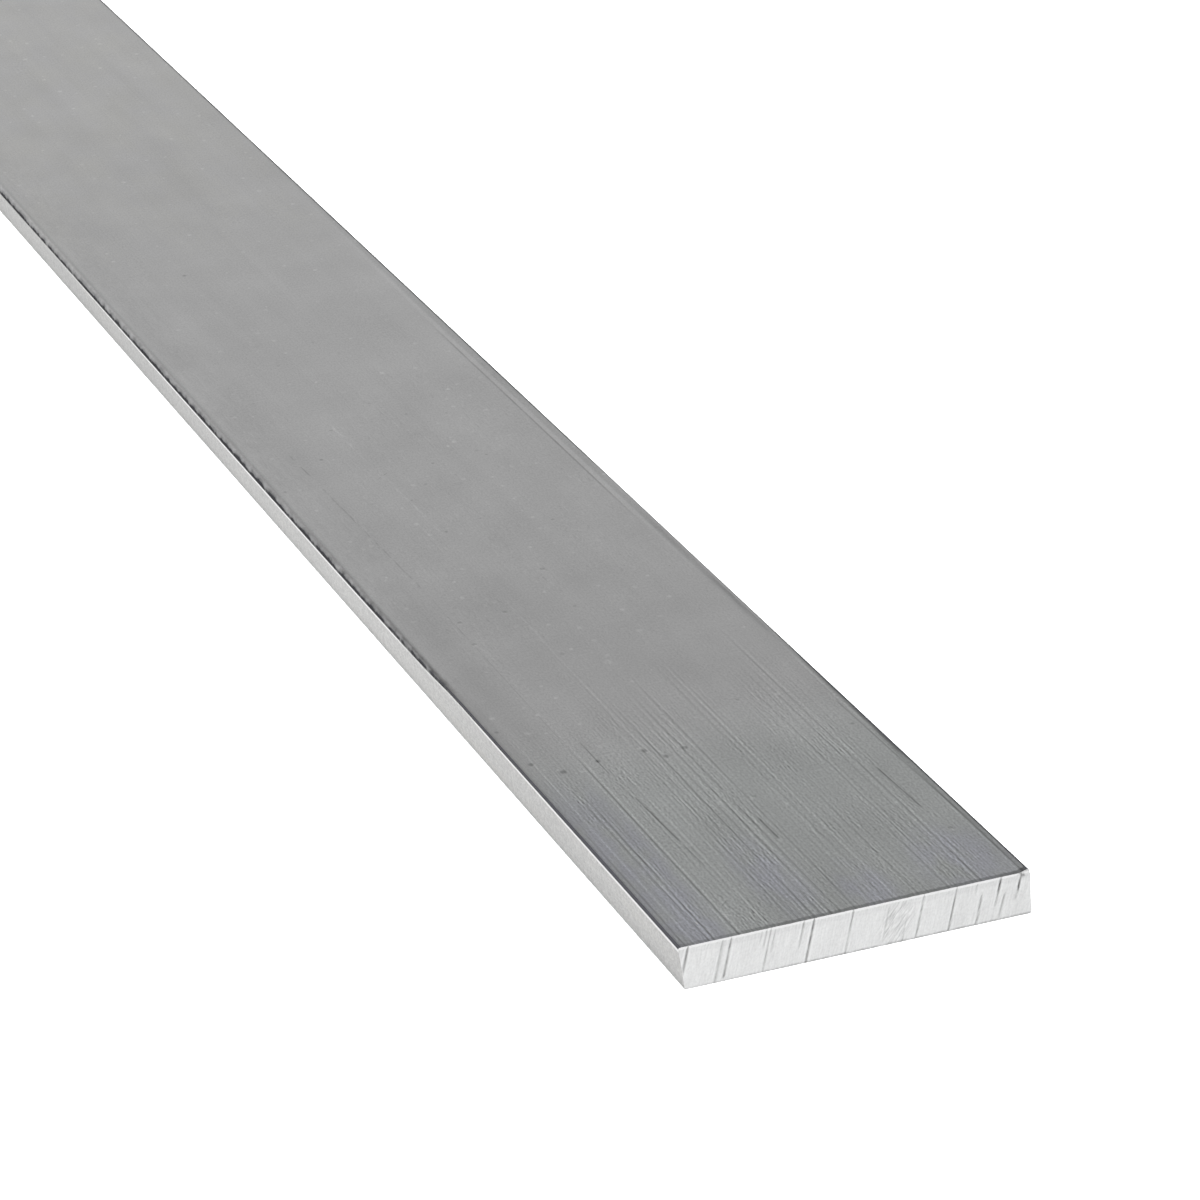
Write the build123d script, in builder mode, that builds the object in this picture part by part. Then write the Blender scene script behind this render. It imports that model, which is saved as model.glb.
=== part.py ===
"""Extruded aluminium flat bar, one solid, lying flat on one of its wide faces.

Millimetres. X runs across the width, Y along the length and Z up through the thickness.
The origin is the centre of the lower wide face.
"""

from build123d import *
import os

# The extruded section
bar_width = 50.0  # across the wide faces
bar_thickness = 6.0  # between the wide faces
arris_radius = 0.3  # along the four long edges, which the die leaves barely eased

# The stock length, from one square saw cut to the other
bar_length = 1000.0

os.makedirs("parts", exist_ok=True)

# Flat bar: the section, standing on the XY plane at the near saw cut, extruded to the far one
near_cut = Plane.XZ.offset(bar_length / 2)
with BuildPart() as flat_bar:
    with BuildSketch(near_cut) as section:
        Rectangle(bar_width, bar_thickness, align=(Align.CENTER, Align.MIN))
        fillet(section.vertices(), radius=arris_radius)
    extrude(amount=-bar_length)
flat_bar.part.label = "flat_bar"
export_step(flat_bar.part, "parts/flat_bar.step")
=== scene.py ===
"""A mill-finish aluminium flat bar in a pale studio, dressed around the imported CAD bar.

The scene is in metres in the row frame: X across the bar, Y along it from the near saw cut at
-Y to the far one, Z up. Places on the bar are given in millimetres from its lower left corner
at the near cut, seen from there: across from the left edge, along from the cut, up from the
floor.
"""

import math

import bpy
import numpy as np
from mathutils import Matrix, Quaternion, Vector


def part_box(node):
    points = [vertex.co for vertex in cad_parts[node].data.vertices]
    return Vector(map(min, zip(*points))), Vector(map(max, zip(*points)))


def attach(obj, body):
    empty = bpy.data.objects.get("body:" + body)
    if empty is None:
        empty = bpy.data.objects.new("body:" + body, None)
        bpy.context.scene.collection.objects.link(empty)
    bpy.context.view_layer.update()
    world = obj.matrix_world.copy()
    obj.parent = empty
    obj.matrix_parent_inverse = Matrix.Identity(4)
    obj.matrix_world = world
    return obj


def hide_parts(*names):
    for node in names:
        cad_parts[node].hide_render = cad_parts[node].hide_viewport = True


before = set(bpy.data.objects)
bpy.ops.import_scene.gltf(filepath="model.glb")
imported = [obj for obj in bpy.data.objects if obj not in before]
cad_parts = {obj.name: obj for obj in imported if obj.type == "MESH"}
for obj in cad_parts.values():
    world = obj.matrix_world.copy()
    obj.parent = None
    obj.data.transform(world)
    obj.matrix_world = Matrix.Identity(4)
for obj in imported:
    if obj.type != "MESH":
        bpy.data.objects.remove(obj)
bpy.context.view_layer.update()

MM = 0.001
LOW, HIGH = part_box("flat_bar")
WIDTH, LENGTH, THICKNESS = (HIGH - LOW) / MM

# The long edges
ARRIS, RIGHT_ARRIS = 0.3, 0.15  # radius along them, and along the crisper upper right one
ROLL_START, ROLL_RUN = 146.0, 26.0  # the upper left edge is rolled over past here, this fast
ROLL_NEAR, ROLL_FAR = 0.22, 1.36  # height of the roll before that and where it is full
ROLL_STEEP, ROLL_EASE = 0.42, 55.0  # the share of it that rises so, and the way the rest takes
CREEP_FROM, CREEP_RUN = 400.0, 550.0  # from here and for so long it still creeps up,
CREEP_RATE = 0.0005  # this much for each millimetre
ROLL_WIDTH = 0.62  # its width, as a share of its height
SHOULDER_ALONG = (0, 103, 172, 236, 392, 542)  # the upper right edge has a low shoulder,
SHOULDER_WIDTH = (0.9, 1.0, 1.4, 2.4, 2.5, 1.2)  # so wide at these places
SHOULDER_DROP = 0.05
LEAN, LEAN_RUN = 0.85, 69.0  # the lower right edge draws in by this at the near cut, then less

# The saw cuts
CUT_INSET = 0.08  # the sawn faces lie this far inside the CAD faces, so that burrs fit
RIM = 0.04  # the broken edge round each cut
BURR = 0.03  # how far its burr sticks out
SAW_SLOPE = 0.38  # how far a saw mark moves to the right for each millimetre it climbs
MARK_HALF, MARK_DEPTH = 0.20, 0.11  # half width and depth of a saw mark of strength 1
MARK_FADE = 0.35  # the marks grow shallow this close to the rim
LIP_AT, LIP_HALF = 1.7, 0.7  # the raised lip beside a mark, in half widths of the mark
CHIP_FROM, CHIP_BACK = 48.0, 1.35  # the upper right corner is worn from here across, this far back
CHIP_DROP, CHIP_CURVE = 0.4, 1.25  # and this far down, rising by this power towards the corner
CHIP_RUN = 9.0  # the rings within this stretch move back with it
# Marks of the near cut: across at the upper face, strength, lowest and highest share of height
NEAR_MARKS = [
    (1.5, 1.1, 0.0, 1.0),
    (6.45, 0.6, 0.0, 0.95),
    (7.65, 0.95, 0.1, 1.0),
    (12.0, 0.3, 0.7, 1.0),
    (12.65, 0.5, 0.6, 1.0),
    (13.25, 0.6, 0.0, 1.0),
    (13.9, 0.5, 0.45, 0.95),
    (17.9, 0.7, 0.4, 1.0),
    (19.35, 1.1, 0.0, 1.0),
    (24.9, 0.55, 0.03, 1.0),
    (24.9, 0.55, 0.5, 1.0),
    (30.1, 0.4, 0.2, 0.85),
    (33.0, 0.4, 0.0, 0.6),
    (34.95, 0.75, 0.0, 1.0),
    (39.6, 0.5, 0.0, 1.0),
    (39.55, 0.5, 0.0, 0.8),
    (42.5, 0.4, 0.75, 1.0),
    (43.5, 0.8, 0.03, 0.68),
    (45.85, 1.05, 0.66, 1.0),
    (45.85, 0.65, 0.38, 0.88),
    (45.7, 0.25, 0.0, 0.5),
    (46.85, 0.8, 0.05, 0.56),
    (48.75, 0.75, 0.6, 0.96),
    (48.7, 0.6, 0.42, 0.85),
]
TORN_AT, TORN_SIZE = (30.4, 2.8), (2.6, 3.2)  # a patch that the saw tore: across and up
TORN_SLOPE, TORN_DEPTH = 0.95, 0.03  # how its scuffs lean and how deep they are
TORN_FOOT = TORN_AT[0] + SAW_SLOPE * (THICKNESS - TORN_AT[1])  # its middle, followed up a saw mark

# The wide faces
FACE_INSET = 0.02  # they lie this far inside the CAD faces, for the ridges of the die marks
FACE_CLEAR = (0.3, 1.6)  # and come down to that over this way in from the edges
WAVE_DEPTH, DRAWN_DEPTH = 0.005, 0.007  # depth of the broad waves and of the fine drawn marks

# The mesh: a box of columns across, rows up and rings along, of which only the outside is kept
COLUMNS, ARC_STEPS, SIDE_STEPS = 190, 5, 14
UPRIGHT = 0.09  # the columns lean as the saw marks do, less so in this share beside the edges
SHARP_ANGLE = 40.0  # degrees, past which an edge isn't shaded smooth
WIDE, NARROW, SAWN = 0, 1, 2  # the finishes, in the order of the material slots
UV_GROWTH = 0.6  # the UV map gives more of its length to the near end
POINT_VALUES = ("edge", "shoulder", "dirt", "drawn")  # what the mesh tells the finishes at each point

# Die lines by the near cut: across, how far along they reach, how dark. Below 0 they are light.
DIE_LINES = [
    (1.12, 76, 0.34),
    (2.5, 120, -0.26),
    (4.45, 94, 0.42),
    (5.2, 92, 0.44),
    (8.68, 112, 0.60),
    (9.1, 140, -0.10),
    (13.0, 106, -0.17),
    (16.5, 53, 0.14),
    (17.3, 84, 0.22),
    (18.42, 150, -0.22),
    (18.42, 205, -0.10),
    (19.45, 126, 0.52),
    (20.6, 100, 0.32),
    (21.8, 118, 0.38),
    (23.07, 126, 0.42),
    (25.25, 140, 0.34),
    (27.9, 57, 0.12),
    (29.8, 150, 0.18),
    (31.2, 150, -0.32),
    (34.2, 70, 0.30),
    (36.5, 46, 0.12),
    (38.4, 60, 0.26),
    (39.45, 108, 0.28),
    (41.9, 140, 0.14),
    (43.08, 160, 0.30),
    (43.5, 150, -0.16),
    (49.0, 60, 0.36),
]
LINE_FROM = (0.0, 0.19, 0.40, 0.60)  # a die line fades out by the second of these, and has
LINE_SHAPE = (1.0, 0.0, -0.45, 0.0)  # a fainter one of the other sign beside it at the third
LINE_DEPTH = 0.005  # depth of a die line of darkness 1
REACH_FADE = 25.0  # what reaches so far along fades out over this last stretch
# Broad bands there: across, half width, how far along they reach, how dark
DIE_BANDS = [
    (1.0, 1.2, 160, 0.11),
    (3.6, 4.6, 640, 0.035),
    (5.2, 3.6, 110, 0.03),
    (11.6, 4.0, 145, -0.065),
    (25.4, 3.2, 90, 0.03),
]
# Groups of fine lines there: across, half width, how far along they reach
LINE_GROUPS = [
    (4.9, 1.6, 110),
    (12.0, 2.2, 105),
    (20.4, 6.0, 150),
    (30.7, 2.0, 150),
    (34.8, 2.0, 92),
    (41.3, 4.0, 150),
]
# Bluish patches there: middle and half size, each across and along
COOL_PATCHES = [
    ((18.95, 23.0), (5.0, 27.6)),
    ((28.88, 9.2), (4.5, 17.2)),
    ((43.28, 11.5), (8.0, 23.0)),
]
COOL_ACROSS, COOL_ALONG = (9.5, 6.0), (103.0, 57.0)  # and spans of one by the left edge
# Scratches of the upper face: from and to (across, along), half width, how dark
SCRATCHES = [
    ((8.7, 112.7), (8.85, 212.7), 0.10, 0.14),
    ((8.85, 212.7), (7.45, 322.0), 0.14, 0.18),
    ((11.9, 48.3), (11.4, 77.0), 0.12, 0.58),
    ((12.2, 33.3), (11.9, 48.3), 0.09, 0.32),
    ((10.91, 88.5), (10.91, 111.5), 0.10, 0.40),
    ((24.21, 39.1), (24.12, 54.0), 0.14, 0.62),
    ((45.07, 39.1), (44.67, 65.5), 0.13, 0.58),
    ((49.0, 34.0), (48.35, 104.0), 0.13, 0.34),
    ((49.1, 72.0), (48.9, 132.0), 0.16, -0.14),
    ((9.45, 14.1), (11.1, 17.2), 0.10, 0.32),
    ((10.31, 8.7), (8.45, 11.7), 0.15, -0.34),
    ((9.35, 9.2), (8.55, 10.3), 0.14, -0.26),
    ((18.8, 246.0), (17.4, 345.0), 0.24, -0.10),
    ((16.07, 290.9), (20.24, 296.7), 0.14, 0.20),
    ((45.77, 13.2), (47.75, 13.8), 0.12, 0.22),
]
# Pits of the upper face: across, along, half width, how dark. Below 0 they are light.
PITS = [
    (5.40, 96.6, 0.50, 0.50),
    (11.00, 98.3, 0.42, 0.50),
    (10.24, 91.8, 0.30, 0.30),
    (18.04, 98.5, 0.48, 0.50),
    (20.08, 93.3, 0.46, 0.46),
    (23.49, 95.7, 0.48, 0.46),
    (2.15, 104.0, 0.46, 0.46),
    (4.80, 85.4, 0.26, 0.30),
    (47.36, 89.3, 0.30, 0.34),
    (1.44, 125.0, 0.34, 0.30),
    (19.42, 160.5, 0.45, 0.18),
    (17.0, 475.0, 0.40, 0.36),
    (11.5, 313.6, 0.32, 0.36),
    (2.0, 296.7, 0.30, 0.34),
    (19.55, 248.5, 0.28, 0.34),
    (23.1, 282.2, 0.28, 0.24),
    (30.2, 333.0, 0.36, 0.18),
    (35.1, 297.7, 0.34, 0.18),
    (40.0, 344.8, 0.34, -0.30),
    (31.6, 304.7, 0.32, -0.30),
    (14.1, 216.2, 0.28, -0.26),
    (5.4, 227.8, 0.28, -0.24),
    (2.45, 133.0, 0.40, -0.28),
    (5.31, 120.8, 0.45, -0.16),
    (24.40, 150.4, 0.60, -0.16),
    (4.95, 98.2, 0.30, -0.18),
    (17.6, 100.2, 0.30, -0.16),
    (23.0, 97.4, 0.30, -0.16),
]
PIT_SHAPE = (1.25, 2.6)  # half size of a pit across and along, in half widths

# Where the finishes show each thing. A span has nothing of it at the first number and all of it
# at the second. With four numbers it has all until the third and nothing from the fourth on. A
# change gives a start and an end, and the value at each. Changes in a list add up.
MILL_SHADE_ALONG = [(-20.0, 126.0, 0.985, 1.05), (230.0, 598.0, 0.0, -0.07)]  # lightness along the upper face, painted to follow how its reflection brightens and dims along the bar,
EDGE_TONE = [(110.0, 180.0, 1.12, 1.19), (210.0, 480.0, 0.0, -0.17)]  # and the lightness along the narrow faces
NEAR_SPAN, FAR_SPAN = (126.0, 69.0), (437.0, 598.0)  # the greener near end and the warmer far part
DRAWN_SPAN = (144.0, 86.0)  # the drawn look of the near end
SCUFF_SPAN, STROKE_SPAN = (60.0, 120.0), (135.0, 175.0, 330.0, 440.0)  # scuffs and longer strokes
BROKEN_SPAN = (140.0, 220.0)  # lines and scratches that are broken up
SPECK_CHANGE = (480.0, 300.0, 0.15, 1.0)  # how strongly specks show
UPPER, UPPER_SHADE, UPPER_SIDE = (3.0, 4.0), (2.0, 4.0), (3.0, 3.5)  # heights of the upper part
LEFT_PART, RIGHT_PART = (20.0, 15.0), (30.0, 35.0)  # the parts of the width by each edge
# Painted shade on the upper left arris, for its dark reflection, by how far in it lies: a crisp line, which
# shifts by the cut
LEFT_CRISP, LEFT_SHIFT = (0.56, 0.41), (40.0, 125.0, -0.06, 0.0)
LEFT_TURN = (138.0, 165.0)  # and turns along here into a blotched band with a darker core,
LEFT_BAND, LEFT_CORE = (1.6, 0.6, 0.0, 0.6), (0.75, 0.25, 0.0, 0.36)
LEFT_DARK = [(126.0, 158.0, 1.25, 0.87), (185.0, 240.0, 0.0, 0.13), (430.0, 560.0, 0.0, -0.12)]
LEFT_FAINT_SHADE, LEFT_FAINT_SHADE_DARK = (0.0, 0.1, 0.3, 1.4), 0.2  # and a fainter painted shade over both
# The painted dark line of the upper right arris: how far in its two parts lie, and how dark each is
RIGHT_LINE, RIGHT_LINE_DARK = [(0.62, 0.36), (0.40, 0.30)], 0.35
# Where along the bar it is bolder or paler, and by how much
RIGHT_LINE_VARIED = [((50.0, 75.0, 105.0, 118.0), 0.3), ((136.0, 161.0, 259.0, 288.0), -0.7)]
# Duller strips beside it: how far in, where along the bar, how dark
RIGHT_STRIPS = [
    ((1.3, 1.1), (98.0, 69.0), 0.2),
    ((0.95, 0.62), (60.0, 80.0, 100.0, 150.0), 0.42),
    ((0.5, 0.75, 1.05, 1.35), (138.0, 152.0, 172.0, 195.0), 0.14),
    ((0.4, 0.8, 1.3, 1.9), (144.0, 172.0, 207.0, 247.0), 0.13),
    ((0.85, 0.5), (300.0, 340.0), 0.1),
]
# The dark line at the foot of the shoulder: how far from it, where along the bar, how dark
FOOT_AWAY, FOOT_SPAN, FOOT_DARK = (0.24, 0.06), (218.0, 264.0, 374.0, 402.0), 0.24
# The painted grey line by the near cut, the shade behind its burr, by how far from it, and two shares of it
# across the bar
CUT_LINE, CUT_LINE_SHARES = (1.8, 1.0, 0.0, 0.38), [(4.0, 16.0, 0.65, 1.0), (44.0, 48.0, 1.0, 1.3)]
# The painted highlight line of the narrow faces, which lies this far below the arris: where along the bar
EDGE_HIGHLIGHT, EDGE_HIGHLIGHT_SPAN = (-0.46, -0.30), (575.0, 379.0)
EDGE_HIGHLIGHT_DULL = (124.0, 144.0, 184.0, 207.0)  # and where it is dull
# Strips of the sawn ends: a painted highlight along the upper rim and a greyer strip, by how far
# down, and a grey sill, by how far up, with how grey it is across the bar
RIM_HIGHLIGHT_DOWN, STRIP_DOWN = (0.45, 0.20), (0.3, 0.5, 0.9, 1.3)
SILL_UP, SILL_CHANGE = (0.40, 0.15), (4.0, 20.0, 0.1, 0.35)
DULL_RIGHT = (32.0, 44.0)  # the right part of the sawn ends, which is slightly duller
TORN_AWAY, TORN_ALONG = (1.2, 0.5), (1.0, 0.5)  # the torn patch, by its own sizes and along

# The colours
MILL_GREY = (0.63, 0.63, 0.63, 1.0)  # the wide faces,
MILL_NEAR = (0.609, 0.632, 0.624, 1.0)  # by the near cut,
MILL_COOL = (0.612, 0.626, 0.688, 1.0)  # in the bluish patches
MILL_WARM = (0.632, 0.63, 0.612, 1.0)  # and far from the cut
EDGE_GREY, EDGE_WARM = (0.53, 0.53, 0.522, 1.0), (0.538, 0.533, 0.512, 1.0)  # the narrow faces
SAWN_WHITE = (0.886, 0.892, 0.891)
PAINTED_SHADE_GREY = (0.03, 0.03, 0.034, 1.0)  # painted shade along the upper arrises and behind the near cut, for their dark reflections and the burr's shade
MOST_PAINTED_SHADE = 0.92  # how strong the painted shade gets
COVER_RATE, MOST_COVER = 1.3, 0.98  # how far it hides the metal, for its strength and at most
PAINTED_SHADE_METALLIC = (0.65, 0.9, 1.0, 0.0)  # and how metallic it looks, by its strength: the painted shade is dull
MILL_BRUSHED, EDGE_BRUSHED = 0.6, 0.4  # how far fine lines stretch the reflections

# The camera, at the photograph's place and angle: metres in the frame, degrees and millimetres
CAMERA_AT = (-0.24336, -1.68297, 0.37228)
CAMERA_AIM = (0.00631, -0.31328, 0.00602)
CAMERA_ROLL = 9.40
CAMERA_LENS, CAMERA_SENSOR = 278.67, 36.0
CAMERA_CLIP = (0.05, 100.0)

# The studio: what the metal mirrors at each height above the horizon, in degrees
STUDIO = [(0, 0.89), (6, 0.86), (10.6, 0.65), (15.4, 0.36), (21.5, 0.24), (40, 0.30), (64, 0.95), (90, 1.07)]
FLOOR_REACH = 30.0  # the floor goes this many metres each way
KEY_FROM = Vector((-0.12, -0.40, 0.90))  # the direction that the sun shines from
KEY_STRENGTH, KEY_SPREAD = 7.0, 50.0  # spread in degrees
FLOOR_SEEN, FLOOR_MIRRORED = 0.9, 0.34  # how pale the floor is for the camera, and in the metal


def smooth(start, end, value):
    """0 at start and 1 at end, with a soft step between."""
    share = np.clip((value - start) / (end - start), 0.0, 1.0)
    return share * share * (3.0 - 2.0 * share)


def soft_noise(u, v, seed):
    """Smooth noise from -1 to 1, with patches about one unit across."""
    size = 64
    lattice = np.random.default_rng(seed).uniform(-1.0, 1.0, (size, size))
    column, row = np.floor(u).astype(int), np.floor(v).astype(int)
    right, up = smooth(0.0, 1.0, u - column), smooth(0.0, 1.0, v - row)

    def corner(i, j):
        """The lattice's value at one corner of each point's cell."""
        return lattice[(column + i) % size, (row + j) % size]

    lower = corner(0, 0) * (1.0 - right) + corner(1, 0) * right
    upper = corner(0, 1) * (1.0 - right) + corner(1, 1) * right
    return lower * (1.0 - up) + upper * up


# ------------------------------------------------------------------ the bar's mesh
def ring_places():
    """How far along each ring lies. They crowd at both cuts and lie further apart past the near end."""
    by_cut = CUT_INSET + np.append(0.0, 0.05 * 2.0 ** np.arange(8))
    near = np.arange(14.0, 330.0, 10.0)
    middle = np.arange(340.0, 700.0, 25.0)
    far = np.arange(720.0, LENGTH - 20.0, 50.0)
    return np.unique(np.concatenate([by_cut, near, middle, far, LENGTH - by_cut]))


def column_shares():
    """Where each column lies on the upper face, from 0 to 1, several on every mark and line."""
    across_mark = (-LIP_AT, -1.0, 0.0, 1.0, LIP_AT)
    marks = [mark[0] + away * MARK_HALF for mark in NEAR_MARKS for away in across_mark]
    lines = [line[0] + side * away for line in DIE_LINES for away in LINE_FROM for side in (-1.0, 1.0)]
    own = np.unique(np.round(marks + lines, 3))
    own = own[(own > ARRIS * 2) & (own < WIDTH - ARRIS * 2)]
    even = np.linspace(0.0, WIDTH, COLUMNS)
    clear = [x for x in even if np.abs(own - x).min() > MARK_HALF / 2]
    places = np.sort(np.append(clear, own))
    places = places[np.append(True, np.diff(places) > MARK_HALF / 6)]
    return np.unique(np.clip((places - ARRIS) / (WIDTH - ARRIS - RIGHT_ARRIS), 0.0, 1.0))


def die_lines_at(share, along):
    """How dark the die lines and bands make the upper face, by the column they follow."""
    across = ARRIS + share * (WIDTH - ARRIS - RIGHT_ARRIS)
    dark = np.zeros_like(across)
    for at, reach, strength in DIE_LINES:
        shape = np.interp(np.abs(across - at), LINE_FROM, LINE_SHAPE)
        dark += strength * shape * smooth(reach, reach - REACH_FADE, along)
    for at, half_width, reach, strength in DIE_BANDS:
        band = smooth(1.2, 0.4, np.abs(across - at) / half_width)
        dark += strength * band * smooth(reach, reach - REACH_FADE, along)
    return dark


def drawn_at(across, along):
    """How strongly the fine die lines show on the upper face: most in their groups near the cut."""
    drawn = np.full_like(across, 0.4)
    for at, half_width, reach in LINE_GROUPS:
        group = smooth(1.5, 0.4, np.abs(across - at) / half_width)
        drawn += 0.6 * group * smooth(reach, reach - REACH_FADE, along)
    return drawn * (0.2 + 0.8 * smooth(*DRAWN_SPAN, along))


def roll_height(along):
    """Height of the rolled upper left edge, which rises steeply first and then levels off."""
    steep = smooth(ROLL_START, ROLL_START + ROLL_RUN, along)
    past = np.maximum(along - ROLL_START - ROLL_RUN / 2, 0.0)
    grown = ROLL_STEEP * steep + (1.0 - ROLL_STEEP) * (1.0 - np.exp(-past / ROLL_EASE))
    creep = CREEP_RATE * np.clip(along - CREEP_FROM, 0.0, CREEP_RUN)
    return ROLL_NEAR + (ROLL_FAR - ROLL_NEAR) * grown + creep


def edge_profile(row, top_width, top_height):
    """One narrow face with its two arrises, from row 0 at the lower face to the upper one.

    Gives how far in from the edge and how far up each row is, and its way round from the
    nearer end of the narrow face, which is below 0 on the narrow face itself.
    """
    last = 2 * ARC_STEPS + SIDE_STEPS
    low_turn = np.clip(1.0 - row / ARC_STEPS, 0.0, 1.0) * math.pi / 2
    top_turn = np.clip(1.0 - (last - row) / ARC_STEPS, 0.0, 1.0) * math.pi / 2
    rise = np.clip((row - ARC_STEPS) / SIDE_STEPS, 0.0, 1.0)
    inward = ARRIS * (1.0 - np.cos(low_turn)) + top_width * (1.0 - np.cos(top_turn))
    up = ARRIS * (1.0 - np.sin(low_turn)) + top_height * np.sin(top_turn)
    face = THICKNESS - ARRIS - top_height
    turned = np.where(row < last / 2, low_turn * ARRIS, top_turn * (top_width + top_height) / 2)
    middle = -face * np.minimum(rise, 1.0 - rise)
    return inward, up + face * rise, turned + middle


def die_marks(across, along, seed):
    """Depth of the marks that the die leaves along a wide face."""
    wave = soft_noise(across / 3.1, along / 400.0, seed)
    fine = soft_noise(across / 0.42, along / 160.0, seed + 1)
    group = smooth(-0.2, 0.5, soft_noise(across / 7.0, along / 120.0, seed + 2))
    near = 0.3 + 0.7 * smooth(150.0, 30.0, along)
    return WAVE_DEPTH * wave + DRAWN_DEPTH * fine * group * near


def shoulder_start(along):
    """How far across the low shoulder of the upper right edge begins."""
    return WIDTH - np.interp(along, SHOULDER_ALONG, SHOULDER_WIDTH)


def saw_marks(across, up, marks, seed):
    """Depth of the saw's marks at points of a cut, and how dark they are painted there: painted shade in the
    grooves, a painted highlight on the lips.
    """
    foot = across + SAW_SLOPE * (THICKNESS - up)  # where the saw's way meets the upper face
    height = up / THICKNESS
    depth, dark = np.zeros_like(across), np.zeros_like(across)
    for at, strength, start, end in marks:
        reach = smooth(start - 0.06, start + 0.03, height) * smooth(end + 0.06, end - 0.03, height)
        reach = strength * reach * (0.75 + 0.25 * soft_noise(height * 9.0, np.full_like(up, at), seed))
        away = np.abs(foot - at) / (MARK_HALF * (0.6 + 0.45 * strength))
        groove = np.clip(1.0 - away, 0.0, 1.0)
        lip = np.clip(1.0 - np.abs(away - LIP_AT) / LIP_HALF, 0.0, 1.0)
        depth += MARK_DEPTH * reach * (groove - 0.25 * lip)
        # The groove is painted darker, for the shade in it, and the lip lighter, as a painted highlight
        dark += reach * (groove - 0.2 * lip)
    depth += 0.002 * soft_noise(foot / 0.5, height * 1.5, seed + 1)
    depth += 0.005 * soft_noise(foot / 2.6, height * 0.8, seed + 2)
    return depth, dark


def torn_patch(across, up):
    """1 in the middle of the patch that the saw tore, fading to 0 round it."""
    away = np.hypot((across - TORN_AT[0]) / TORN_SIZE[0], (up - TORN_AT[1]) / TORN_SIZE[1])
    return smooth(1.0, 0.35, away + 0.25 * soft_noise(across / 0.6, up / 0.9, 90))


def far_marks():
    """Marks of the far cut, as uneven as the near one's."""
    rng = np.random.default_rng(7)
    places = np.cumsum(rng.uniform(2.2, 6.4, 14))
    places = places[places < WIDTH - 1.0]
    return [(at, rng.uniform(0.3, 1.0), rng.uniform(-0.5, 0.3), rng.uniform(0.75, 1.4)) for at in places]


def worn_back(across, up):
    """How far the near cut is worn back towards its upper right corner."""
    share = np.clip((across - CHIP_FROM) / (WIDTH - CHIP_FROM), 0.0, 1.0) ** CHIP_CURVE
    return CHIP_BACK * share * np.clip(1.0 - (THICKNESS - up) / CHIP_DROP, 0.0, 1.0)


def cut_points(across, up, marks, seed):
    """How deep each point of a cut lies under its face, and how dark it is painted, for the shade in the saw
    marks.
    """
    depth, dark = saw_marks(across, up, marks, seed)
    if marks is NEAR_MARKS:
        foot = across + SAW_SLOPE * (THICKNESS - up)
        depth += TORN_DEPTH * torn_patch(across, up) * soft_noise(foot / 0.4, up / 1.4, 91)
    return depth, dark


def bar_points(column, row, ring, shares, places):
    """Places of the grid points, (across, along, up), and what the finishes read there: edge, shoulder, how
    dark the marks are with the painted shade of the saw marks, and drawn.
    """
    share, along = shares[column], places[ring]
    roll = roll_height(along)
    left_in, left_up, left_edge = edge_profile(row, np.maximum(roll * ROLL_WIDTH, ARRIS), roll)
    right_in, right_up, right_edge = edge_profile(row, RIGHT_ARRIS, RIGHT_ARRIS)
    right_in = right_in + LEAN * np.exp(-along / LEAN_RUN) * (1.0 - right_up / THICKNESS)
    up = left_up * (1.0 - share) + right_up * share
    across = left_in + share * (WIDTH - left_in - right_in)
    leaning = smooth(0.0, UPRIGHT, share) * smooth(0.0, UPRIGHT, 1.0 - share)
    across = across - leaning * SAW_SLOPE * (THICKNESS - up)

    last_row, last_column = row.max(), column.max()
    inner = (column > 0) & (column < last_column)
    top, low = inner & (row == last_row), inner & (row == 0)
    from_shoulder = across - shoulder_start(along)
    roll_width = np.where(share < 0.5, roll * ROLL_WIDTH, 0.0)
    clear = smooth(*FACE_CLEAR, np.minimum(across, WIDTH - across) - roll_width)
    drop = SHOULDER_DROP * np.clip(from_shoulder, 0.0, 1.0)
    dirt = np.where(top & (ring > 0), die_lines_at(share, along), 0.0)
    upper = THICKNESS - clear * (FACE_INSET + drop + LINE_DEPTH * dirt + die_marks(across, along, 20))
    lower = clear * (FACE_INSET + die_marks(across, along, 40))
    up = np.where(inner, lower + (upper - lower) * up / THICKNESS, up)

    from_side = np.where(share < 0.5, left_edge + across - left_in, right_edge + WIDTH - right_in - across)
    edge = np.where(top | low, from_side, np.where(share < 0.5, left_edge, right_edge))
    drawn = drawn_at(across, along)
    inside = inner & (row > 0) & (row < last_row)
    for end, side, marks, seed in ((0, 1.0, NEAR_MARKS, 70), (ring.max(), -1.0, far_marks(), 80)):
        at_end = ring == end
        across = np.where(at_end, WIDTH / 2 + (across - WIDTH / 2) * (1 - 2 * RIM / WIDTH), across)
        up = np.where(at_end, THICKNESS / 2 + (up - THICKNESS / 2) * (1 - 2 * RIM / THICKNESS), up)
        face = at_end & inside
        # On the cuts the value is the saw marks' painted shade and lip highlights; on the upper face it is
        # the die lines' darkness
        depth, dirt[face] = cut_points(across[face], up[face], marks, seed)
        from_rim = np.minimum(up[face], THICKNESS - up[face])
        along[face] += side * depth * smooth(0.0, MARK_FADE, from_rim)
        rim = at_end & ~inside
        along[rim] -= side * BURR * np.abs(soft_noise(across[rim] / 0.9, up[rim] / 1.5, 60 + end))
    along = along + worn_back(across, up) * np.clip(1.0 - along / CHIP_RUN, 0.0, 1.0)
    return np.stack([across, along, up], axis=1), np.stack([edge, from_shoulder, dirt, drawn], axis=1)


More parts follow.
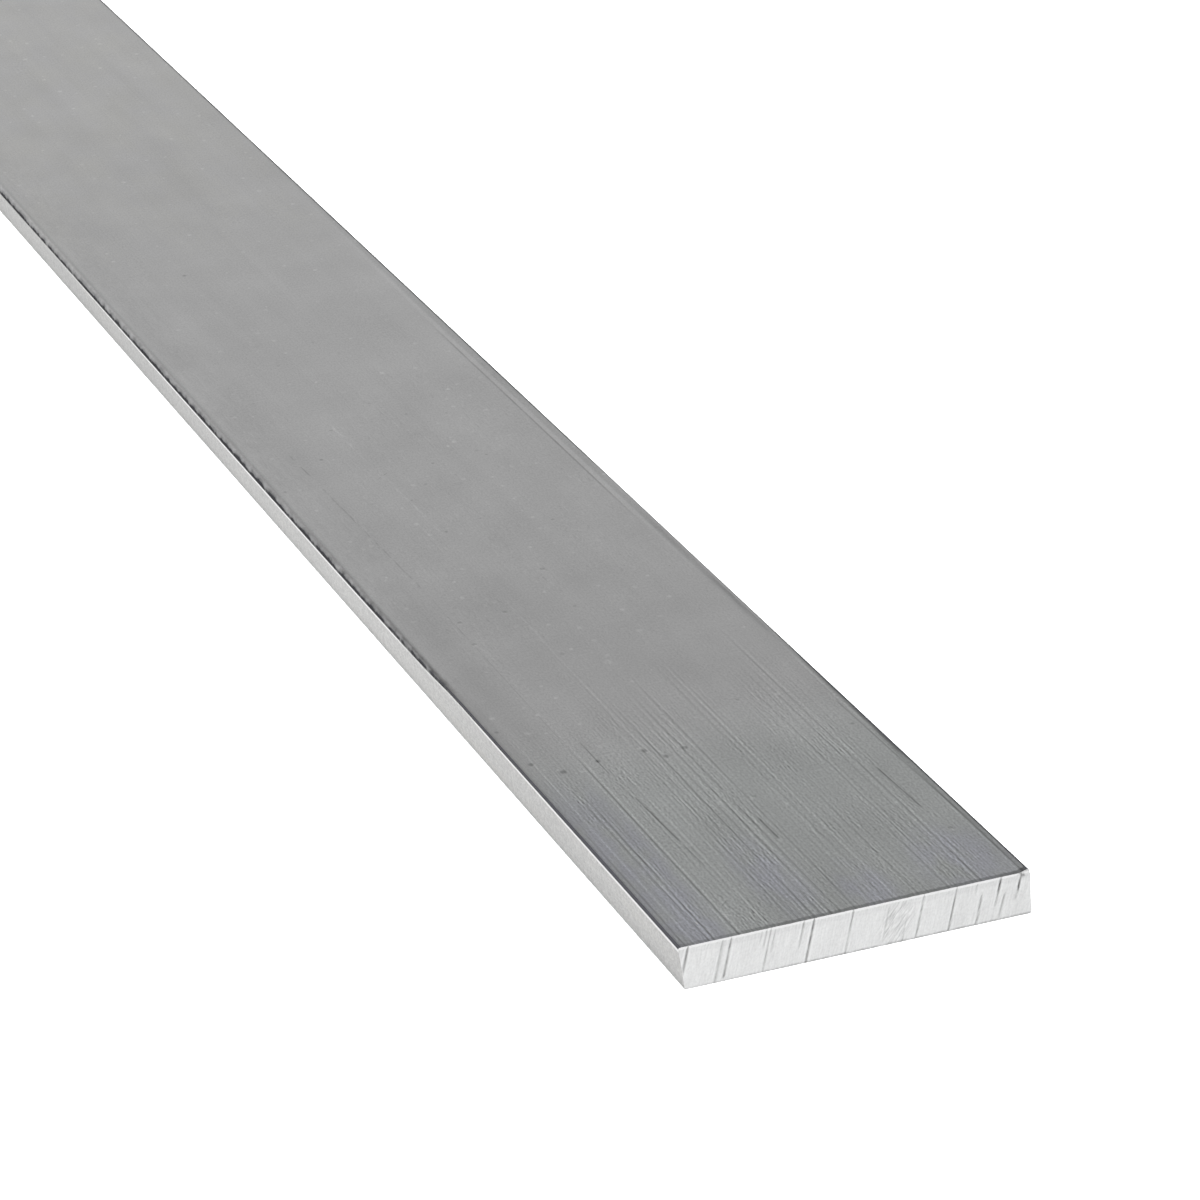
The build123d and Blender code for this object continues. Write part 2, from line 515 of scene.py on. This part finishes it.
def side_quads(numbers, flipped, kind, u_along, v_along, chart):
    """Quads of one side of the box, with their finishes and their corners on the UV map."""
    left, low, right, high = chart
    u = left + (right - left) * u_along
    v = low + (high - low) * v_along
    u, v = np.broadcast_arrays(u, v)

    def corners(grid):
        """The grid's values at the four corners of each quad, in order round it."""
        around = [grid[:-1, :-1], grid[1:, :-1], grid[1:, 1:], grid[:-1, 1:]]
        quads = np.stack(around[::-1] if flipped else around, axis=-1)
        return quads.reshape(-1, 4)

    kinds = np.broadcast_to(kind, (numbers.shape[0] - 1, numbers.shape[1] - 1)).ravel()
    return corners(numbers), kinds, np.stack([corners(u), corners(v)], axis=-1)


def bar_sides(numbers, shares, places):
    """The six sides of the box as quads, finishes and UV corners. The arrises get the wide finish."""
    column = shares[:, None]
    row = np.linspace(0.0, 1.0, numbers.shape[1])[:, None]
    ring = (places / LENGTH)[None, :] ** UV_GROWTH
    edge_row = np.arange(numbers.shape[1] - 1)[:, None]
    is_arris = (edge_row < ARC_STEPS) | (edge_row >= ARC_STEPS + SIDE_STEPS)
    beside = np.where(is_arris, WIDE, NARROW)
    sides = [
        side_quads(numbers[:, -1], False, WIDE, column, ring, (0.01, 0.01, 0.41, 0.99)),
        side_quads(numbers[:, 0], True, WIDE, column, ring, (0.43, 0.01, 0.70, 0.99)),
        side_quads(numbers[0], False, beside, row, ring, (0.72, 0.01, 0.78, 0.99)),
        side_quads(numbers[-1], True, beside, row, ring, (0.80, 0.01, 0.86, 0.99)),
        side_quads(numbers[:, :, 0], False, SAWN, row.T, column, (0.88, 0.01, 0.99, 0.49)),
        side_quads(numbers[:, :, -1], True, SAWN, row.T, column, (0.88, 0.51, 0.99, 0.99)),
    ]
    return [np.concatenate(part) for part in zip(*sides)]


def bar_mesh():
    """The whole bar as one closed mesh, with what its finishes read at each point, the painted shade of the
    saw marks among it, and a UV map for baking.
    """
    shares, places = column_shares(), ring_places()
    shape = (len(shares), 2 * ARC_STEPS + SIDE_STEPS + 1, len(places))
    outside = np.ones(shape, bool)
    outside[1:-1, 1:-1, 1:-1] = False
    numbers = np.full(shape, -1)
    numbers[outside] = np.arange(outside.sum())
    points, point_values = bar_points(*np.argwhere(outside).T, shares, places)
    quads, kinds, uv = bar_sides(numbers, shares, places)

    mesh = bpy.data.meshes.new("flat_bar_finished")
    mesh.from_pydata((points * MM + np.array(LOW)).tolist(), [], quads.tolist())
    mesh.polygons.foreach_set("material_index", kinds.astype(np.int32))
    for name, values in zip(POINT_VALUES, point_values.T):
        made = mesh.attributes.new(name, "FLOAT", "POINT")
        made.data.foreach_set("value", values.astype(np.float32))
    layer = mesh.uv_layers.new(name="OFBake", do_init=False)
    layer.uv.foreach_set("vector", uv.astype(np.float32).ravel())
    mesh.shade_smooth()
    mesh.set_sharp_from_angle(angle=math.radians(SHARP_ANGLE))
    mesh.update()
    return mesh


# ------------------------------------------------------------------ finishes
class Finish:
    """One procedural material. The methods add nodes, and most return an output of them.

    across, along and up are a point's place on the bar in millimetres, edge is its way from
    the nearest arris (below 0 on a narrow face), shoulder its way onto the shoulder of the
    upper right edge, the next value how deep it lies in a saw mark or die line (on the cuts painted
    as shade in a mark's groove and a highlight on its lip), and drawn how strongly
    the fine die lines show there.
    """

    def __init__(self, name):
        self.material = bpy.data.materials.new(name)
        self.material.use_nodes = True
        self.tree = self.material.node_tree
        self.shader = self.tree.nodes["Principled BSDF"]
        at = self.add("TexCoord", out="Object")
        per_mm = (1.0 / MM,) * 3
        from_corner = tuple(-c / MM for c in LOW)
        self.place = self.add("VectorMath", at, per_mm, from_corner, operation="MULTIPLY_ADD")
        self.across, self.along, self.up = self.split(self.place)
        worn = [self.add("Attribute", out="Fac", attribute_name=name) for name in POINT_VALUES]
        self.edge, self.shoulder, self.dirt, self.drawn = worn

    def add(self, kind, *values, out=0, **settings):
        """Adds a node with these settings, and with these values or outputs on its first inputs."""
        made = self.tree.nodes.new("ShaderNode" + kind)
        for name, value in settings.items():
            setattr(made, name, value)
        for socket, value in zip(made.inputs, values):
            self.feed(socket, value)
        return made.outputs[out]

    def feed(self, socket, value):
        """Links an output to the socket, or sets a plain value on it."""
        if isinstance(value, bpy.types.NodeSocket):
            self.tree.links.new(value, socket)
        else:
            socket.default_value = value

    def split(self, vector):
        """The three parts of a vector or colour."""
        made = self.tree.nodes.new("ShaderNodeSeparateXYZ")
        self.feed(made.inputs[0], vector)
        return made.outputs

    def math(self, operation, *values):
        """One operation of a Math node, such as ADD."""
        return self.add("Math", *values, operation=operation)

    def plus(self, *values):
        """The sum of all the values."""
        total = values[0]
        for value in values[1:]:
            total = self.math("ADD", total, value)
        return total

    def times(self, *values):
        """The product of all the values."""
        total = values[0]
        for value in values[1:]:
            total = self.math("MULTIPLY", total, value)
        return total

    def varied(self, value, amount):
        """1, varied by this much of the value."""
        return self.math("MULTIPLY_ADD", value, amount, 1.0)

    def blend_values(self, share, first, second):
        """The first value where share is 0, and the second where it is 1."""
        return self.plus(first, self.times(share, self.math("SUBTRACT", second, first)))

    def step(self, value, start, end, low=0.0, high=1.0):
        """low at start and high at end, with a soft step between."""
        return self.add("MapRange", value, start, end, low, high, interpolation_type="SMOOTHSTEP")

    def span(self, value, start, full, waning=None, end=None):
        """0 at start and 1 at full. With all four it stays 1 until waning and is 0 from end on."""
        rise = self.step(value, start, full)
        return rise if end is None else self.times(rise, self.step(value, end, waning))

    def changes(self, value, steps):
        """The sum of some steps of the value, each with its start, end, low and high."""
        return self.plus(*(self.step(value, *change) for change in steps))

    def noise(self, size, detail=2.0, seed=0.0, gain=2.0, shift=0.0):
        """Noise about 0 whose patches have this size in millimetres, across, along and up."""
        scale = tuple(1.0 / s for s in size)
        start = (seed + shift / size[0], seed, seed)
        at = self.add("VectorMath", self.place, scale, start, operation="MULTIPLY_ADD")
        made = self.tree.nodes.new("ShaderNodeTexNoise")
        self.feed(made.inputs["Vector"], at)
        made.inputs["Scale"].default_value = 1.0
        made.inputs["Detail"].default_value = detail
        return self.math("MULTIPLY_ADD", made.outputs["Fac"], gain, -gain / 2)

    def ripples(self, size, spacing, seed, gain):
        """Noise with crests this far apart across the bar and no broad bands."""
        middle = self.noise(size, 1.0, seed, gain)
        beside = [self.noise(size, 1.0, seed, -gain / 2, shift) for shift in (-spacing / 2, spacing / 2)]
        return self.plus(middle, *beside)

    def specks(self, cell, radius, share, seed):
        """Specks twice as long as wide, in this share of the cells. Sizes are in millimetres."""
        shift = self.times(self.up, seed)
        half_along = self.math("MULTIPLY_ADD", self.along, 0.5, shift)
        flat = self.add("CombineXYZ", self.plus(self.across, shift), half_along)
        made = self.tree.nodes.new("ShaderNodeTexVoronoi")
        made.voronoi_dimensions = "2D"
        self.feed(made.inputs["Vector"], flat)
        made.inputs["Scale"].default_value = 1.0 / cell
        red, green, _ = self.split(made.outputs["Color"])
        size = self.math("MULTIPLY_ADD", green, radius / cell, 0.4 * radius / cell)
        spot = self.step(self.math("DIVIDE", made.outputs["Distance"], size), 1.0, 0.4)
        return self.times(spot, self.math("LESS_THAN", red, share))

    def scratch(self, start, end, half_width):
        """1 on the line from start to end, which are (across, along), and 0 beside it."""
        slope = (end[0] - start[0]) / (end[1] - start[1])
        reach = half_width * math.hypot(1.0, slope)
        fade = min(3.0, 0.3 * (end[1] - start[1]))
        at = self.math("MULTIPLY_ADD", self.along, slope, start[0] - slope * start[1])
        away = self.math("ABSOLUTE", self.math("SUBTRACT", self.across, at))
        near_end = self.step(self.along, start[1], start[1] + fade)
        far_end = self.step(self.along, end[1], end[1] - fade)
        return self.times(self.step(away, reach * 1.5, reach * 0.4), near_end, far_end)

    def away(self, middle, size):
        """How many sizes away from middle a point is. An infinite size leaves a direction out."""
        gone = self.add("VectorMath", self.place, middle, operation="SUBTRACT")
        gone = self.add("VectorMath", gone, tuple(1.0 / s for s in size), operation="MULTIPLY")
        return self.add("VectorMath", gone, operation="LENGTH", out="Value")

    def patch(self, middle, size):
        """1 in the middle of a round patch and 0 outside it. Both are (across, along)."""
        return self.step(self.away((*middle, 0.0), (*size, math.inf)), 1.1, 0.3)

    def blend(self, share, first, second):
        """The first colour where share is 0, and the second where it is 1."""
        made = self.tree.nodes.new("ShaderNodeMix")
        made.data_type = "RGBA"
        for socket, value in ((0, share), (6, first), (7, second)):
            self.feed(made.inputs[socket], value)
        return made.outputs[2]

    def brush(self, amount):
        """Stretches the reflections as fine lines along the bar do."""
        self.shader.inputs["Anisotropic"].default_value = amount
        self.feed(self.shader.inputs["Tangent"], self.add("Tangent", direction_type="RADIAL", axis="Y"))

    def finish(self, colour, tone, roughness, height, painted_shade=None):
        """Sets the shader: colour times tone, painted shade over it, height in millimetres as bump."""
        made = self.tree.nodes.new("ShaderNodeVectorMath")
        made.operation = "SCALE"
        self.feed(made.inputs[0], colour)
        self.feed(made.inputs["Scale"], tone)
        self.shader.inputs["Metallic"].default_value = 1.0
        self.shader.inputs["Specular IOR Level"].default_value = 0.0
        if painted_shade is None:
            self.feed(self.shader.inputs["Base Color"], made.outputs[0])
        else:
            # The painted shade is a near-black, dull colour that hides the metal
            cover = self.math("MINIMUM", self.times(painted_shade, COVER_RATE), MOST_COVER)
            self.feed(self.shader.inputs["Base Color"], self.blend(cover, made.outputs[0], PAINTED_SHADE_GREY))
            self.feed(self.shader.inputs["Metallic"], self.step(painted_shade, *PAINTED_SHADE_METALLIC))
        self.feed(self.shader.inputs["Roughness"], roughness)
        bump = self.tree.nodes.new("ShaderNodeBump")
        bump.inputs["Distance"].default_value = MM
        self.feed(bump.inputs["Height"], height)
        self.feed(self.shader.inputs["Normal"], bump.outputs[0])
        return self.material


def die_lines(f):
    """Fine lines along the bar, where the mesh says that they show: long ones and dashes."""
    lines = f.ripples((0.28, 80.0, 1.0), 0.72, seed=3.0, gain=1.5)
    strands = f.ripples((0.22, 12.0, 1.0), 0.56, seed=9.0, gain=2.8)
    dashes = f.ripples((0.2, 2.6, 1.0), 0.56, seed=4.0, gain=2.8)
    patches = f.step(f.noise((5.0, 24.0, 1.0), seed=8.0), -0.2, 0.3, 0.2, 1.0)
    return f.times(f.plus(lines, f.times(f.plus(strands, dashes), patches)), f.drawn)


def rubbed_marks(f):
    """How much lighter rubbing leaves the wide faces past the near end: scuffs and longer strokes."""
    scuffs = f.noise((0.4, 1.8, 1.0), detail=2.0, seed=12.0)
    worn = f.step(f.noise((7.0, 45.0, 1.0), detail=2.0, seed=13.0), 0.0, 0.5, 0.15, 1.0)
    scuffs = f.times(scuffs, worn, f.span(f.along, *SCUFF_SPAN))
    strokes = f.noise((0.5, 5.0, 1.0), detail=2.0, seed=14.0)
    strokes = f.changes(strokes, [(0.12, 0.42), (-0.16, -0.46, 0.0, -1.1)])
    rubbed = f.step(f.noise((6.0, 34.0, 1.0), detail=1.0, seed=15.0), -0.2, 0.2)
    strokes = f.times(strokes, rubbed, f.span(f.along, *STROKE_SPAN))
    return f.plus(f.times(scuffs, 0.22), f.times(strokes, 0.10))


def placed_marks(f, grain):
    """How dark the upper face is in the die lines, scratches and pits that are placed one by one."""
    marks = f.dirt
    for start, end, half_width, strength in SCRATCHES:
        marks = f.plus(marks, f.times(f.scratch(start, end, half_width), strength))
    # Lines and scratches are uneven by the cut, and broken further along
    broken = f.noise((0.8, 7.0, 1.0), detail=2.0, seed=10.0)
    uneven = f.varied(broken, 0.4)
    gaps = f.step(broken, -0.2, 0.25, 0.0, 1.6)
    marks = f.times(marks, f.blend_values(f.span(f.along, *BROKEN_SPAN), uneven, gaps))
    for across, along, half_width, strength in PITS:
        size = [half_width * share for share in PIT_SHAPE]
        marks = f.plus(marks, f.times(f.patch((across, along), size), strength))
    return f.times(marks, f.varied(grain, 1.2))


def left_edge_shade(f):
    """Painted shade along the upper left edge, for its dark reflection: a crisp line by the cut, blotched
    where it rolls.
    """
    blotch = f.varied(f.noise((0.7, 4.0, 2.0), detail=3.0, seed=21.0), 0.9)
    inward = f.plus(f.edge, f.step(f.along, *LEFT_SHIFT))
    band = f.plus(f.times(f.step(f.edge, *LEFT_BAND), blotch), f.step(f.edge, *LEFT_CORE))
    line = f.blend_values(f.span(f.along, *LEFT_TURN), f.span(inward, *LEFT_CRISP), band)
    line = f.times(line, f.step(inward, -0.03, 0.03), f.changes(f.along, LEFT_DARK))
    # A fainter painted shade over the roll
    faint_shade = f.times(f.span(f.edge, *LEFT_FAINT_SHADE), LEFT_FAINT_SHADE_DARK, blotch)
    here = f.times(f.span(f.across, *LEFT_PART), f.span(f.up, *UPPER_SHADE))
    return f.times(f.math("MAXIMUM", line, faint_shade), here)


def right_edge_shade(f):
    """The painted dark line along the upper right arris, the duller strips by it and the dark line at the
    shoulder's foot.
    """
    blotch = f.varied(f.noise((0.8, 12.0, 2.0), detail=2.0, seed=22.0), 0.8)
    # A painted dark line along the arris
    line = f.times(f.plus(*(f.span(f.edge, *inward) for inward in RIGHT_LINE)), RIGHT_LINE_DARK)
    varied = [f.times(f.span(f.along, *span), amount) for span, amount in RIGHT_LINE_VARIED]
    painted_shade = f.times(line, f.plus(1.0, *varied))
    for inward, span, dark in RIGHT_STRIPS:
        painted_shade = f.plus(painted_shade, f.times(f.span(f.edge, *inward), f.span(f.along, *span), dark))
    foot = f.span(f.math("ABSOLUTE", f.shoulder), *FOOT_AWAY)
    painted_shade = f.plus(painted_shade, f.times(foot, f.span(f.along, *FOOT_SPAN), FOOT_DARK))
    here = f.times(f.span(f.across, *RIGHT_PART), f.span(f.up, *UPPER_SHADE))
    return f.times(painted_shade, blotch, here)


def cut_shade(f):
    """The ragged painted grey line by the near cut, the shade behind its burr, which follows the worn corner
    back.
    """
    ragged = f.noise((0.5, 2.0, 2.0), detail=2.0, seed=23.0)
    to_corner = f.add("MapRange", f.across, CHIP_FROM, WIDTH, 0.0, 1.0)
    chip = f.times(f.math("POWER", to_corner, CHIP_CURVE), -CHIP_BACK)
    # Painted shade behind the burr of the near cut
    from_cut = f.plus(f.along, f.times(ragged, 0.5), chip)
    return f.times(f.step(from_cut, *CUT_LINE), *(f.step(f.across, *share) for share in CUT_LINE_SHARES))


def mill_colour(f, upper):
    """Grey, greener by the near cut, bluish in patches there and warmer far from it."""
    cool = f.times(f.span(f.across, *COOL_ACROSS), f.span(f.along, *COOL_ALONG))
    for middle, size in COOL_PATCHES:
        cool = f.plus(cool, f.patch(middle, size))
    cool = f.times(cool, upper, f.step(f.noise((3.0, 14.0, 1.0), detail=1.0, seed=12.0), -0.6, 0.3))
    cool = f.math("MINIMUM", f.math("MAXIMUM", cool, 0.0), 1.0)
    warm = f.step(f.noise((9.0, 40.0, 1.0), seed=13.0), -0.4, 0.4)
    warm = f.times(warm, f.span(f.along, *FAR_SPAN))
    colour = f.blend(f.span(f.along, *NEAR_SPAN), MILL_GREY, MILL_NEAR)
    colour = f.blend(cool, colour, MILL_COOL)
    return f.blend(warm, colour, MILL_WARM)


def mill_finish():
    """The wide faces as the die leaves them: grey, drawn lengthwise, with specks and scratches, and painted
    shade along the upper arrises and by the near cut.
    """
    f = Finish("mill_finish")
    upper = f.span(f.up, *UPPER)
    lines = die_lines(f)
    streaks = f.noise((1.4, 200.0, 1.0), detail=2.0, seed=5.0)
    bands = f.noise((5.0, 120.0, 1.0), detail=2.0, seed=6.0)
    clouds = f.noise((12.0, 30.0, 1.0), detail=3.0, seed=1.0)
    grain = f.noise((0.24, 1.0, 0.3), detail=3.0, seed=2.0)
    grain = f.times(grain, f.step(f.along, *DRAWN_SPAN, 0.55, 1.0))
    pits = f.times(f.specks(9.0, 0.42, 0.24, 1.7), f.step(f.along, *SPECK_CHANGE))
    dots = f.times(f.specks(4.2, 0.46, 0.45, 2.3), f.step(streaks, -0.3, 0.4, 0.1, 1.0))
    tone = f.plus(
        # Painted shade along the bar, for how the reflection in the upper face changes along it
        f.changes(f.along, MILL_SHADE_ALONG),
        f.times(lines, 0.38),
        f.times(streaks, 0.04),
        f.times(bands, 0.08),
        f.times(clouds, 0.17),
        f.times(grain, 0.5),
        f.times(pits, -0.24),
        f.times(dots, 0.27),
        rubbed_marks(f),
    )
    marks = f.times(placed_marks(f, grain), upper)
    tone = f.math("MAXIMUM", f.math("SUBTRACT", tone, marks), 0.05)
    # Painted shade: dark reflections along the upper arrises and the shade behind the near cut's burr
    painted_shade = f.plus(left_edge_shade(f), right_edge_shade(f), f.times(cut_shade(f), upper))
    painted_shade = f.math("MINIMUM", painted_shade, MOST_PAINTED_SHADE)
    colour = mill_colour(f, upper)
    rough = f.plus(0.30, f.times(lines, 0.02), f.times(clouds, 0.02), f.times(painted_shade, 0.15))
    height = f.plus(f.times(lines, 0.003), f.times(grain, 0.002), f.times(pits, -0.02))
    f.brush(MILL_BRUSHED)
    return f.finish(colour, tone, rough, height, painted_shade)


def edge_finish():
    """The narrow faces: the same metal, duller, with a painted highlight line under the arris, for the
    bright floor it mirrors.
    """
    f = Finish("edge_finish")
    mottle = f.noise((1.0, 2.0, 0.9), detail=3.0, seed=31.0)
    drawn = f.noise((1.0, 60.0, 0.35), detail=2.0, seed=32.0)
    grain = f.noise((0.3, 0.8, 0.25), detail=2.0, seed=33.0)
    broad = f.noise((4.0, 50.0, 3.0), detail=2.0, seed=34.0)
    # A painted highlight under the upper arris, for the bright floor that it mirrors
    bright = f.times(f.span(f.edge, *EDGE_HIGHLIGHT), f.span(f.up, *UPPER_SIDE), f.varied(mottle, 0.6))
    dull = f.varied(f.span(f.along, *EDGE_HIGHLIGHT_DULL), -0.75)
    bright = f.times(bright, dull, f.span(f.along, *EDGE_HIGHLIGHT_SPAN))
    tone = f.plus(
        f.changes(f.along, EDGE_TONE),
        f.times(mottle, 0.35),
        f.times(drawn, 0.12),
        f.times(grain, 0.5),
        f.times(broad, 0.10),
        f.times(bright, 1.15),
    )
    colour = f.blend(f.math("MAXIMUM", broad, 0.0), EDGE_GREY, EDGE_WARM)
    rough = f.plus(0.36, f.times(mottle, 0.03), f.times(bright, -0.06))
    height = f.plus(f.times(mottle, 0.004), f.times(drawn, 0.003), f.times(grain, 0.002))
    f.brush(EDGE_BRUSHED)
    return f.finish(colour, tone, rough, height)


def torn_grey(f):
    """How grey the patch is that the saw tore in the near cut, with scuffs that lean further."""
    away = f.away((TORN_FOOT, 0.0, TORN_AT[1]), (TORN_SIZE[0], math.inf, TORN_SIZE[1]))
    here = f.times(f.span(away, *TORN_AWAY), f.span(f.along, *TORN_ALONG))
    slanted = f.place
    f.place = f.add("CombineXYZ", f.math("MULTIPLY_ADD", f.up, -TORN_SLOPE, f.across), f.along, f.up)
    scuffs = f.noise((0.3, 5.0, 1.5), detail=3.0, seed=45.0)
    f.place = slanted
    return f.times(here, f.math("MULTIPLY_ADD", scuffs, 0.6, 0.07))


def sawn_finish():
    """The sawn ends: bright bare metal with the saw's slanted strokes, grey marks painted with the shade of
    their grooves, and a painted highlight along the upper rim.
    """
    f = Finish("sawn_finish")
    down = f.math("SUBTRACT", THICKNESS, f.up)
    foot = f.plus(f.across, f.times(down, SAW_SLOPE))  # where the saw's way meets the upper face
    f.place = f.add("CombineXYZ", foot, f.along, f.up)
    strokes = f.noise((0.25, 5.0, 2.5), detail=3.0, seed=41.0)
    bands = f.noise((2.2, 50.0, 9.0), detail=1.0, seed=42.0)
    grain = f.noise((0.25, 0.3, 0.3), detail=2.0, seed=43.0)
    ragged = f.step(f.noise((1.4, 9.0, 9.0), detail=2.0, seed=44.0), -0.4, 0.3, 0.3, 1.0)
    # A painted highlight along the broken upper edge of the cut
    rim = f.times(f.span(down, *RIM_HIGHLIGHT_DOWN), ragged)
    sill = f.times(f.span(f.up, *SILL_UP), ragged, f.step(f.across, *SILL_CHANGE))
    tone = f.plus(
        1.0,
        f.times(strokes, 0.14),
        f.times(bands, 0.05),
        f.times(grain, 0.12),
        f.times(rim, 0.38),
        f.times(f.span(down, *STRIP_DOWN), -0.05),
        f.times(sill, -1.0),
        f.times(f.span(f.across, *DULL_RIGHT), -0.03),
    )
    # Saw mark grooves painted darker for their shade and lips lighter as a painted highlight; the torn patch
    # is greyer
    tone = f.times(tone, f.varied(f.dirt, -0.85), f.varied(torn_grey(f), -1.0))
    tone = f.math("MAXIMUM", tone, 0.1)
    rough = f.plus(0.38, f.times(strokes, 0.05), f.times(f.dirt, 0.1))
    height = f.plus(f.times(strokes, 0.004), f.times(grain, 0.002))
    return f.finish(SAWN_WHITE, tone, rough, height)


def build_bar():
    """The finished bar, which shows in the place of the CAD one."""
    bar = bpy.data.objects.new("flat_bar_finished", bar_mesh())
    bpy.context.scene.collection.objects.link(bar)
    for material in (mill_finish(), edge_finish(), sawn_finish()):
        bar.data.materials.append(material)
    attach(bar, "root")
    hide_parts("flat_bar")
    return bar


# ------------------------------------------------------------------ studio
def build_floor():
    """A level floor, pale for the camera and greyer in what the metal mirrors."""
    reach = FLOOR_REACH
    corners = [(-reach, -reach, 0), (reach, -reach, 0), (reach, reach, 0), (-reach, reach, 0)]
    mesh = bpy.data.meshes.new("floor")
    mesh.from_pydata(corners, [], [(0, 1, 2, 3)])
    floor = bpy.data.objects.new("floor", mesh)
    bpy.context.scene.collection.objects.link(floor)
    material = bpy.data.materials.new("pale_floor")
    material.use_nodes = True
    tree = material.node_tree
    shader = tree.nodes["Principled BSDF"]
    ray = tree.nodes.new("ShaderNodeLightPath")
    pale = tree.nodes.new("ShaderNodeMapRange")
    pale.inputs["To Min"].default_value = FLOOR_MIRRORED
    pale.inputs["To Max"].default_value = FLOOR_SEEN
    tree.links.new(ray.outputs["Is Camera Ray"], pale.inputs["Value"])
    tree.links.new(pale.outputs[0], shader.inputs["Base Color"])
    shader.inputs["Roughness"].default_value = 0.9
    shader.inputs["Specular IOR Level"].default_value = 0.0
    mesh.materials.append(material)


def build_studio():
    """A grey studio that the metal mirrors, and plain white for the camera."""
    world = bpy.data.worlds.new("studio")
    bpy.context.scene.world = world
    world.use_nodes = True
    tree = world.node_tree
    tree.nodes.clear()
    brightest = max(light for _, light in STUDIO)
    direction = tree.nodes.new("ShaderNodeTexCoord")
    parts = tree.nodes.new("ShaderNodeSeparateXYZ")
    ramp = tree.nodes.new("ShaderNodeValToRGB")
    tree.links.new(direction.outputs["Generated"], parts.inputs[0])
    tree.links.new(parts.outputs["Z"], ramp.inputs[0])
    stops = ramp.color_ramp.elements
    while len(stops) < len(STUDIO):
        stops.new(1.0)
    for stop, (height, light) in zip(stops, STUDIO):
        stop.position = math.sin(math.radians(height))
        stop.color = (light / brightest,) * 3 + (1.0,)
    mirrored = tree.nodes.new("ShaderNodeBackground")
    mirrored.inputs["Strength"].default_value = brightest
    tree.links.new(ramp.outputs["Color"], mirrored.inputs["Color"])
    seen = tree.nodes.new("ShaderNodeBackground")
    seen.inputs["Color"].default_value = (1.0, 1.0, 1.0, 1.0)
    ray = tree.nodes.new("ShaderNodeLightPath")
    choice = tree.nodes.new("ShaderNodeMixShader")
    tree.links.new(ray.outputs["Is Camera Ray"], choice.inputs[0])
    tree.links.new(mirrored.outputs[0], choice.inputs[1])
    tree.links.new(seen.outputs[0], choice.inputs[2])
    output = tree.nodes.new("ShaderNodeOutputWorld")
    tree.links.new(choice.outputs[0], output.inputs["Surface"])


def build_key_light():
    """A broad soft light from above and behind the camera, which keeps the floor pale."""
    light = bpy.data.lights.new("key", "SUN")
    light.energy = KEY_STRENGTH
    light.angle = math.radians(KEY_SPREAD)
    key = bpy.data.objects.new("key", light)
    key.rotation_mode = "QUATERNION"
    key.rotation_quaternion = KEY_FROM.to_track_quat("Z", "Y")
    key.visible_glossy = False
    bpy.context.scene.collection.objects.link(key)


def build_camera():
    """The photograph's camera."""
    data = bpy.data.cameras.new("camera")
    data.lens, data.sensor_width = CAMERA_LENS, CAMERA_SENSOR
    data.clip_start, data.clip_end = CAMERA_CLIP
    camera = bpy.data.objects.new("camera", data)
    camera.location = CAMERA_AT
    view = (Vector(CAMERA_AIM) - Vector(CAMERA_AT)).normalized()
    roll = Quaternion(view, math.radians(CAMERA_ROLL))
    camera.rotation_mode = "QUATERNION"
    camera.rotation_quaternion = roll @ view.to_track_quat("-Z", "Y")
    bpy.context.scene.collection.objects.link(camera)
    bpy.context.scene.camera = camera


build_bar()
build_floor()
build_studio()
build_key_light()
build_camera()
bpy.context.scene.view_settings.view_transform = "Standard"
